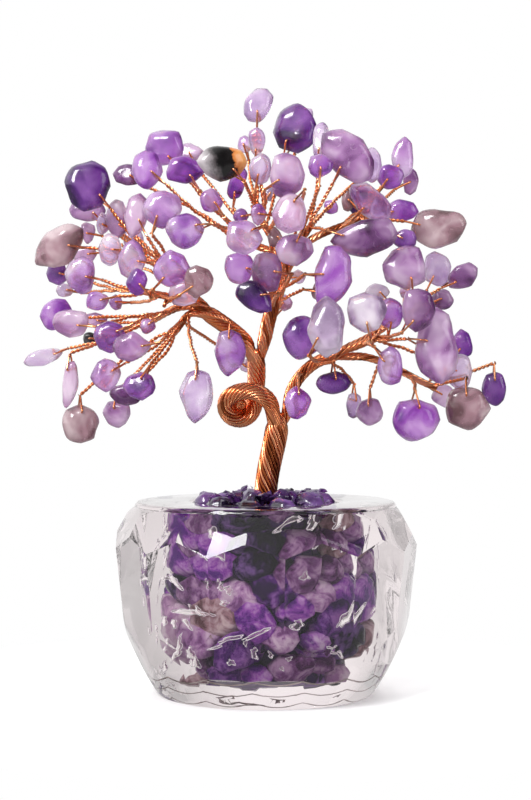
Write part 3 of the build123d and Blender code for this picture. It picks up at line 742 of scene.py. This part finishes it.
class Rope:
    """A twisted rope's line, read from its CAD solid by stepping along it from its start."""

    def __init__(self, name, parent, near):
        bm = merged(name)
        corners = np.array([v.co for v in bm.verts])
        edges = np.array([[v.index for v in e.verts] for e in bm.edges])
        caps = end_caps(bm)
        bm.free()
        caps.sort(key=lambda cap: np.linalg.norm(cap[0] - near))
        (start, out, radius), (end, _, _) = caps
        d = -out
        line = [start]
        radii = [radius]
        while len(line) < MOST_STEPS:
            guess = line[-1] + d * MARCH_STEP
            cut = cut_circle(corners, edges, guess, d, REACH * radii[-1])
            if cut is None or np.linalg.norm(cut[0] - guess) > MARCH_STEP:
                break
            line.append(cut[0])
            radii.append(cut[1])
            d = unit(d + unit(line[-1] - line[-2]))
        line.append(end)
        radii.append(radii[-1])
        line = np.array(line)
        gone = np.concatenate(([0], np.cumsum(np.linalg.norm(np.diff(line, axis=0), axis=1))))
        self.name = name
        self.parent = parent
        self.length = gone[-1]
        self.s = np.linspace(0, self.length, max(LEAST_RINGS, round(self.length / RING_STEP)))
        self.centre = np.stack([np.interp(self.s, gone, line[:, k]) for k in range(3)], axis=1)
        for _ in range(LINE_PASSES):
            self.centre[1:-1] = (self.centre[:-2] + 2 * self.centre[1:-1] + self.centre[2:]) / 4
        self.radius = np.interp(self.s, gone, radii)
        along = np.gradient(self.centre, axis=0)
        self.along = along / np.linalg.norm(along, axis=1)[:, None]
        self.side = carried(self.along)
        self.turn = math.tan(LAY_ANGLE) / self.radius.mean()
        self.tip_share = FORK_TIP if name.startswith(("trunk_", "branch_")) else STEM_TIP
        self.tip_blend = FORK_SHARE * self.radius.mean()
        self.blend = parent.tip_blend if parent else 0

    def along_at(self, s, rows):
        return np.stack([np.interp(s, self.s, rows[:, k]) for k in range(3)], axis=-1)

    def at(self, s):
        """Centres, two directions across and radii at some lengths, run on straight past the ends."""
        inside = np.clip(s, 0, self.length)
        d = self.along_at(inside, self.along)
        d /= np.linalg.norm(d, axis=-1)[..., None]
        side = self.along_at(inside, self.side)
        side -= d * np.sum(side * d, axis=-1)[..., None]
        side /= np.linalg.norm(side, axis=-1)[..., None]
        centre = self.along_at(inside, self.centre) + d * (s - inside)[..., None]
        return centre, side, np.cross(d, side), np.interp(inside, self.s, self.radius)

    def skin(self, s, angle, share):
        """Points for a wire's centre on the rope's skin, or a share of the way out to it."""
        centre, e1, e2, radius = self.at(s)
        a = angle + self.turn * s
        out = (radius - WIRE_R) * share
        return centre + (out * np.cos(a))[:, None] * e1 + (out * np.sin(a))[:, None] * e2

    def wire(self, angle):
        """One wire of the rope, which comes off its parent's skin where it has one."""
        rings = max(LEAST_RINGS, round((self.length + self.blend) / RING_STEP))
        s = np.linspace(-self.blend, self.length, rings)
        left = np.minimum(1.0, (self.length - s) / self.tip_blend)
        path = self.skin(s, angle, self.tip_share + (1 - self.tip_share) * np.sin(left * math.pi / 2))
        if not self.parent:
            return path
        up = self.parent
        centre, e1, e2, _ = up.at(np.array([up.length]))
        start = self.skin(np.zeros(1), angle, 1.0)[0] - centre[0]
        x, y = start @ e1[0], start @ e2[0]
        c, f1, f2, wide = up.at(up.length + s)
        a = math.atan2(y, x) + up.turn * s
        sunk = np.clip(1 + s / self.blend, 0, 1)
        far = np.minimum(math.hypot(x, y), wide - WIRE_R) * (SUNK_SHARE + (1 - SUNK_SHARE) * sunk)
        there = c + (far * np.cos(a))[:, None] * f1 + (far * np.sin(a))[:, None] * f2
        x = np.clip((s + self.blend) / (2 * self.blend), 0, 1)
        w = (x * x * (3 - 2 * x))[:, None]
        return there * (1 - w) + path * w

    def curl(self):
        """Wire wound up in the eye of the loop, from the rope's inner skin to the middle."""
        ring = self.centre[(self.s > EYE_SPAN[0] * self.length) & (self.s < EYE_SPAN[1] * self.length)]
        eye = (ring.min(axis=0) + ring.max(axis=0)) / 2
        e1, e2, _ = np.linalg.svd(ring - eye)[2]
        wide = np.linalg.norm(ring - eye, axis=1).min() - self.radius.mean()
        turn = np.linspace(0, 2 * math.pi * EYE_TURNS, round(EYE_TURNS * EYE_STEPS))
        far = np.linspace(wide, WIRE_R, len(turn))
        return eye + (far * np.cos(turn))[:, None] * e1 + (far * np.sin(turn))[:, None] * e2

    def build(self):
        """The rope's wires round a near-black core, which is painted shade in the grooves between the
        wires, and the curl in the eye of the loop.
        """
        wires = Tubes()
        if self.name == "trunk_loop":
            wires.add(self.curl(), EYE_WIRE * WIRE_R, WIRE_SIDES)
        count = round(2 * math.pi * self.radius.mean() / WIRE_PITCH)
        draw = random.Random(self.name)
        for k in range(count):
            wires.add(self.wire(2 * math.pi * k / count), WIRE_R, WIRE_SIDES, draw.choice(WIRE_TONES))
        mesh = wires.mesh("wires_" + self.name)
        add_piece("wires_" + self.name, mesh, [wire_copper, strand_shade_copper], ROOT, self.name)
        core = Tubes()
        left = self.length - self.s
        taper = np.minimum(1, self.tip_share + (1 - self.tip_share) * left / self.tip_blend)
        if self.parent:
            taper = np.minimum(taper, FORK_TIP + (1 - FORK_TIP) * self.s / self.blend)
        core.add(self.centre, (self.radius - CORE_DEEP * WIRE_R) * taper, CORE_SIDES)
        add_piece("core_" + self.name, core.mesh("core_" + self.name), [groove_shade_copper], ROOT)


ropes = {"trunk_lower": Rope("trunk_lower", None, np.array((0, 0, 0)))}


def grow(name, *parents):
    """A rope that starts at the end of the nearest of these ropes."""
    low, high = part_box(name)
    middle = (np.array(low) + np.array(high)) / 2
    ends = [(np.linalg.norm(ropes[p].centre[-1] - middle), p) for p in parents]
    parent = ropes[min(ends)[1]]
    ropes[name] = Rope(name, parent, parent.centre[-1])


grow("trunk_loop", "trunk_lower")
grow("branch_right", "trunk_lower")
grow("branch_left", "trunk_loop")
grow("branch_centre", "trunk_loop")
for name in nodes:
    if name.startswith("stem_"):
        grow(name, "branch_left", "branch_centre", "branch_right")
for rope in ropes.values():
    rope.build()


def heap_crumbs():
    """Small broken chips between the larger stones of the heap, set in the glue round the trunk."""
    trunk = ropes["trunk_lower"]
    foot = trunk.centre[np.argmin(abs(trunk.centre[:, 2] - GLUE_TOP))]
    room = trunk.radius.mean() + CRUMB_ROOM
    draw = random.Random(CRUMB_SEED)
    whole = bmesh.new()
    for _ in range(CRUMBS):
        size = draw.uniform(*CRUMB_SIZE)
        turn = draw.uniform(0, 2 * math.pi)
        far = (CAVITY_R - GLUE_SKIN - size) * math.sqrt(draw.random())
        high = GLUE_TOP + draw.uniform(*CRUMB_RISE)
        middle = Vector((far * math.cos(turn), far * math.sin(turn), high))
        tilt = Euler([draw.uniform(-CRUMB_TILT, CRUMB_TILT) for _ in range(3)]).to_matrix()
        corners = []
        for _ in range(CRUMB_CORNERS):
            out = Vector([draw.gauss(0, 1) for _ in range(3)]).normalized() * size
            out.z *= CRUMB_FLAT
            corners.append(middle + tilt @ out)
        # Mostly the near-black tone, which is painted shade.
        tone = GEM_NAMES.index(draw.choice(HEAP_TONES))
        if math.hypot(middle.x - foot[0], middle.y - foot[1]) < room:
            continue
        for face in hull_of(whole, [whole.verts.new(at) for at in corners]):
            face.material_index = tone
    made = bpy.data.meshes.new("heap_crumbs")
    whole.to_mesh(made)
    whole.free()
    return made


add_piece("heap_crumbs", heap_crumbs(), gems, ROOT)


# Twigs: two wires twisted into a shank, which part into the folded bail that holds a stone.

def from_ropes(at):
    """How far a point is from the skin of the nearest rope."""
    return min((np.linalg.norm(rope.centre - at, axis=1) - rope.radius).min() for rope in ropes.values())


def into_rope(at):
    """The way from a point to just under the skin of the nearest rope."""
    middles = np.concatenate([rope.centre for rope in ropes.values()])
    radii = np.concatenate([rope.radius for rope in ropes.values()])
    gaps = np.linalg.norm(middles - at, axis=1) - radii
    near = gaps.argmin()
    return unit(middles[near] - at) * (max(gaps[near], 0) + PAIR_ROOT)


def twig_pairs(name):
    """The twigs of a spray: each a twisted pair from the rope it leaves, with its CAD bail."""
    bm = merged(name)
    wires = Tubes()
    draw = random.Random(name)
    for group in islands(bm):
        corners = np.array([bm.verts[i].co for i in group])
        middle = corners.mean(axis=0)
        one_end = corners[np.argmax(np.linalg.norm(corners - middle, axis=1))]
        other_end = corners[np.argmax(np.linalg.norm(corners - one_end, axis=1))]
        root = min((one_end, other_end), key=from_ropes)
        ring = corners[np.linalg.norm(corners - root, axis=1) < ROOT_REACH * TWIG_R]
        start = (ring.min(axis=0) + ring.max(axis=0)) / 2
        d = np.linalg.svd(ring - ring.mean(axis=0))[2][2]
        if d @ (middle - start) < 0:
            d = -d
        rise = (corners - start) @ d
        off = np.linalg.norm(corners - start - rise[:, None] * d, axis=1)
        skin = (abs(off - TWIG_R) < SKIN_SLACK) & (rise > SHANK_LEAST)
        length = rise[skin].min() if skin.any() else rise.max()
        beyond = corners[rise > length + SHANK_LEAST]
        across = beyond - start - ((beyond - start) @ d)[:, None] * d
        u = np.linalg.svd(across - across.mean(axis=0))[2][0]
        u = unit(u - d * (u @ d))
        v = np.cross(d, u)
        rings = max(LEAST_RINGS, round(length / PAIR_PITCH * PAIR_STEPS))
        t = np.linspace(-PAIR_ROOT, length + PAIR_OVER, rings)
        lean = draw.uniform(0, 2 * math.pi)
        swing = math.cos(lean) * u + math.sin(lean) * v
        free = np.sin(math.pi * np.clip(t / length, 0, 1))
        wiggle = WIGGLE * np.sin(2 * math.pi * t / WIGGLE_LONG + lean)
        bend = free * (min(BOW * length, BOW_MOST) + wiggle)
        lead = np.clip(1 - (t + PAIR_ROOT) / min(PAIR_LEAD, length), 0, 1) ** 2
        middle_line = start + d * t[:, None] + bend[:, None] * swing + np.outer(lead, into_rope(start))
        for phase in (0, math.pi):
            a = (phase + 2 * math.pi * (t - length) / PAIR_PITCH)[:, None]
            path = middle_line + TWIG_R / 2 * (np.cos(a) * u + np.sin(a) * v)
            wires.add(path, PAIR_FULL * TWIG_R / 2, PAIR_SIDES)
        numbers = {i: k for k, i in enumerate(group)}
        faces = {face for i in group for face in bm.verts[i].link_faces}
        rows = [tuple(numbers[v.index] for v in face.verts) for face in faces]
        bail = sorted(row for row in rows if min(rise[k] for k in row) > SHANK_LEAST)
        wires.graft(corners, bail)
    bm.free()
    made = wires.mesh("look_" + name)
    used = bmesh.new()
    used.from_mesh(made)
    bmesh.ops.delete(used, geom=[v for v in used.verts if not v.link_faces], context="VERTS")
    used.to_mesh(made)
    used.free()
    return made


for name in nodes:
    if name.startswith("twigs_"):
        add_piece("look_" + name, twig_pairs(name), [twig_copper], ROOT, name)


# Bowl: the cut glass with the clear glue that fills it, so that the chips look set in the glass.

def bowl_and_glue():
    """The bowl without its cavity, closed on top by the wavy skin of the glue."""
    bm = merged("glass_bowl")
    reach = CAVITY_R + CAVITY_SLACK
    inner = [f for f in bm.faces if all(math.hypot(v.co.x, v.co.y) < reach for v in f.verts)]
    bmesh.ops.delete(bm, geom=inner, context="FACES")
    bmesh.ops.dissolve_limit(bm, angle_limit=BOWL_FLAT, verts=bm.verts, edges=bm.edges)
    loop = [v for v in bm.verts if any(e.is_boundary for e in v.link_edges)]
    loop.sort(key=lambda v: math.atan2(v.co.y, v.co.x))
    rim = loop
    for share in GLUE_RINGS:
        ring = []
        for v in loop:
            x, y = v.co.x * share, v.co.y * share
            lift = GLUE_WAVE * noise.noise(Vector((x, y, 0)) / GLUE_WAVE_SIZE)
            ring.append(bm.verts.new((x, y, GLUE_TOP + lift)))
        for k in range(len(loop)):
            n = (k + 1) % len(loop)
            bm.faces.new((rim[k], rim[n], ring[n], ring[k]))
        rim = ring
    bm.faces.new(rim)
    bmesh.ops.recalc_face_normals(bm, faces=bm.faces)
    made = bpy.data.meshes.new("look_glass_bowl")
    bm.to_mesh(made)
    bm.free()
    smooth(made)
    made.set_sharp_from_angle(angle=FACET_ANGLE)
    return made


def glue_bubbles(rims):
    """Flat air pockets in the glue against the glass, turned inside out as air in glass is.

    The painted glint round each pocket goes to rims.
    """
    whole = bmesh.new()
    draw = random.Random(BUBBLE_SEED)
    for _ in range(BUBBLES):
        turn = draw.uniform(0, 2 * math.pi)
        high = draw.uniform(*BUBBLE_HEIGHTS)
        short = draw.uniform(*BUBBLE_SHORT)
        least, most = BUBBLE_LONG
        long = max(short, least + (most - least) * draw.random() ** BUBBLE_SKEW)
        lean = draw.uniform(-BUBBLE_LEAN, BUBBLE_LEAN)
        bend = draw.uniform(-BUBBLE_BEND, BUBBLE_BEND) * long
        lobes = [(n, draw.uniform(0, 2 * math.pi)) for n in BUBBLE_LOBES]

        def placed(x, y, z):
            a = math.atan2(y, x)
            wide = 1 + sum(BUBBLE_LOBE * math.cos(n * a + phase) for n, phase in lobes)
            u, v = long * wide * x, short * wide * y + bend * x * x
            around = turn + (u * math.cos(lean) - v * math.sin(lean)) / BUBBLE_AT
            far = BUBBLE_AT + BUBBLE_DEEP * z
            up = high + u * math.sin(lean) + v * math.cos(lean)
            return (far * math.cos(around), far * math.sin(around), up)

        ball = bmesh.ops.create_icosphere(whole, subdivisions=BUBBLE_LEVELS, radius=1.0)
        for vert in ball["verts"]:
            vert.co = placed(*vert.co)
        angles = np.linspace(0, 2 * math.pi, RIM_STEPS)
        thick = RIM_R * min(1, long / RIM_FULL)
        rims.add([placed(math.cos(a), math.sin(a), 0) for a in angles], thick, RIM_SIDES)
    bmesh.ops.recalc_face_normals(whole, faces=whole.faces)
    bmesh.ops.reverse_faces(whole, faces=whole.faces)
    made = bpy.data.meshes.new("glue_bubbles")
    whole.to_mesh(made)
    whole.free()
    smooth(made)
    return made


def painted_glint():
    """Painted glint: the near-white line round each air pocket, faintly uneven in tint."""
    s = Shader("painted_glint")
    colour = s.colours(s.noise(*GLINT_GRAIN), "Fac", GLINT_TINTS)
    s.join(colour, "Color", s.surface, "Base Color")
    s.put(Roughness=GLINT_ROUGH, IOR=GLINT_INDEX)
    return s.material


def foot_lines():
    """Painted shade: dark scalloped lines round the foot of the bowl, seen through the glass, where the
    edges that the cuts leave look dark.
    """
    lines = Tubes()
    angles = np.linspace(0, 2 * math.pi, FOOT_STEPS)
    for high, far, thick in FOOT_LINES:
        drop = FOOT_WAVE * abs(np.cos(FOOT_CUTS * angles / 2))
        path = np.stack((far * np.cos(angles), far * np.sin(angles), high - drop), axis=1)
        lines.add(path, thick, RIM_SIDES)
    return lines.mesh("foot_lines")


def foot_shade():
    """Painted shade: the brown and grey of an edge that looks dark in the glass, in longer and shorter
    lengths.
    """
    s = Shader("foot_shade")
    colour = s.colours(s.noise(*FOOT_LENGTHS), "Fac", FOOT_TINTS)
    s.join(colour, "Color", s.surface, "Base Color")
    s.put(Roughness=FOOT_ROUGH)
    return s.material


def resin():
    """Casting resin full of broken chips: violet cells of many tones, with painted shade in the dark gaps
    between them.
    """
    s = Shader("plug_resin")
    spot = s.node("ShaderNodeTexCoord")
    cells = s.node("ShaderNodeTexVoronoi", Scale=PLUG_CELLS, Randomness=1.0)
    s.join(spot, "Object", cells, "Vector")
    tone = s.node("ShaderNodeSeparateColor")
    s.join(cells, "Color", tone, "Color")
    edges = s.node("ShaderNodeTexVoronoi", Scale=PLUG_CELLS, Randomness=1.0)
    edges.feature = "DISTANCE_TO_EDGE"
    s.join(spot, "Object", edges, "Vector")
    mix = s.colour_mix("MULTIPLY", s.colours(tone, "Red", PLUG_TINTS))
    mix.inputs["Factor"].default_value = 1.0
    # Painted shade in the gaps between the cells.
    s.join(s.levels(edges, "Distance", PLUG_GAP_SHADE), "Color", mix, "B")
    s.bump(edges, "Distance", *PLUG_RELIEF)
    s.put(Roughness=PLUG_ROUGH, Specular_IOR_Level=PLUG_SHINE)
    return s.material


add_piece("look_glass_bowl", bowl_and_glue(), [bowl_glass], ROOT, "glass_bowl")
glint_rims = Tubes()
add_piece("glue_bubbles", glue_bubbles(glint_rims), [bowl_glass], ROOT)
# Near-white rims round the pockets: painted glints.
add_piece("glint_rims", glint_rims.mesh("glint_rims"), [painted_glint()], ROOT)
add_piece("foot_lines", foot_lines(), [foot_shade()], ROOT)
nodes["resin_plug"].data.materials.clear()
nodes["resin_plug"].data.materials.append(resin())


# Floor, light and camera

def floor_white():
    """A pale floor with the object's shadow on it, which goes over into the white backdrop."""
    s = Shader("floor_white")
    colour = s.colours(s.noise(*FLOOR_GRAIN), "Fac", FLOOR_TINTS)
    s.join(colour, "Color", s.surface, "Base Color")
    s.put(Roughness=FLOOR_ROUGH)
    spot = s.node("ShaderNodeTexCoord")
    away = s.node("ShaderNodeVectorMath")
    away.operation = "LENGTH"
    s.join(spot, "Object", away, 0)
    fade = s.spread(away, "Value", *FLOOR_FADE, 0, 1)
    kind = s.node("ShaderNodeLightPath")
    clear = s.maths("MAXIMUM", (kind, "Is Transmission Ray"), (kind, "Is Singular Ray"))
    bounced = s.maths("MAXIMUM", (clear, "Value"), (kind, "Is Glossy Ray"))
    white = s.maths("MAXIMUM", (bounced, "Value"), (fade, "Result"))
    mirrored = s.spread(kind, "Is Glossy Ray", 0, 1, 1, FLOOR_MIRRORED)
    # Through glass the floor is darker near the bowl: a painted shadow.
    under = s.spread(away, "Value", *FLOOR_NEAR, FLOOR_UNDER, FLOOR_THROUGH)
    level = s.blend((clear, "Value"), (mirrored, "Result"), (under, "Result"))
    shine = s.node("ShaderNodeEmission")
    s.join(level, "Result", shine, "Strength")
    both = s.node("ShaderNodeMixShader")
    s.join(white, "Value", both, "Fac")
    s.join(s.surface, "BSDF", both, 1)
    s.join(shine, "Emission", both, 2)
    s.join(both, "Shader", s.tree.nodes["Material Output"], "Surface")
    return s.material


floor_mesh = bpy.data.meshes.new("floor")
floor_mesh.from_pydata([(-FLOOR, -FLOOR, 0), (FLOOR, -FLOOR, 0), (FLOOR, FLOOR, 0), (-FLOOR, FLOOR, 0)],
                       [], [(0, 1, 2, 3)])
floor = bpy.data.objects.new("floor", floor_mesh)
floor_mesh.materials.append(floor_white())
bpy.context.scene.collection.objects.link(floor)

world = bpy.data.worlds.new("studio")
bpy.context.scene.world = world
world.use_nodes = True
sky = Nodes(world.node_tree)
way = sky.node("ShaderNodeTexCoord")
parts = sky.node("ShaderNodeSeparateXYZ")
sky.join(way, "Generated", parts, 0)
shifted = sky.maths("SUBTRACT", (parts, "X"))
shifted.inputs[1].default_value = BEHIND_MIDDLE
aside = sky.maths("ABSOLUTE", (shifted, "Value"))
studio = sky.spread(parts, "Z", *STUDIO_UP)
behind = sky.spread(aside, "Value", *BEHIND_ASIDE)
across = sky.spread(parts, "X", *SHEEN_ACROSS)
over = sky.spread(parts, "Z", *SHEEN_UP)
sheen = sky.maths("MULTIPLY", (across, "Result"), (over, "Result"))
ray = sky.node("ShaderNodeLightPath")
lit = sky.blend((ray, "Is Glossy Ray"), (studio, "Result"), (sheen, "Value"))
clear = sky.maths("MAXIMUM", (ray, "Is Transmission Ray"), (ray, "Is Singular Ray"))
through = sky.blend((clear, "Value"), (lit, "Result"), (behind, "Result"))
shown = sky.blend((ray, "Is Camera Ray"), (through, "Result"))
shown.inputs["B"].default_value = 1.0
backdrop = sky.tree.nodes["Background"]
sky.join(shown, "Result", backdrop, "Strength")
backdrop.inputs["Color"].default_value = (1, 1, 1, 1)


def lamp(name, place, size, power):
    """A soft lamp that the glass shows no picture of."""
    light = bpy.data.lights.new(name, "AREA")
    light.shape = "RECTANGLE"
    light.size, light.size_y = size
    light.energy = power
    obj = bpy.data.objects.new(name, light)
    obj.location = place
    obj.rotation_euler = (Vector(TREE_MIDDLE) - Vector(place)).to_track_quat("-Z", "Y").to_euler()
    obj.visible_transmission = False
    bpy.context.scene.collection.objects.link(obj)
    return obj


lamp("key", *KEY_LAMP)
lamp("fill", *FILL_LAMP)
lamp("back", *BACK_LAMP).visible_glossy = False

lens = bpy.data.cameras.new("photo")
lens.sensor_fit = "VERTICAL"
lens.sensor_height = SENSOR
lens.lens = SENSOR * FOCAL_PX / PHOTO_H
lens.shift_y = (HORIZON_PY - PHOTO_H / 2) / PHOTO_H
lens.clip_start = NEAREST
camera = bpy.data.objects.new("photo", lens)
camera.location = (0, -EYE_DISTANCE, EYE_HEIGHT)
camera.rotation_euler = (math.pi / 2, 0, 0)
bpy.context.scene.collection.objects.link(camera)
bpy.context.scene.camera = camera
bpy.context.scene.view_settings.view_transform = "Standard"
bpy.context.scene.cycles.max_bounces = GLASS_BOUNCES
bpy.context.scene.cycles.glossy_bounces = GLASS_BOUNCES
bpy.context.scene.cycles.transmission_bounces = GLASS_BOUNCES
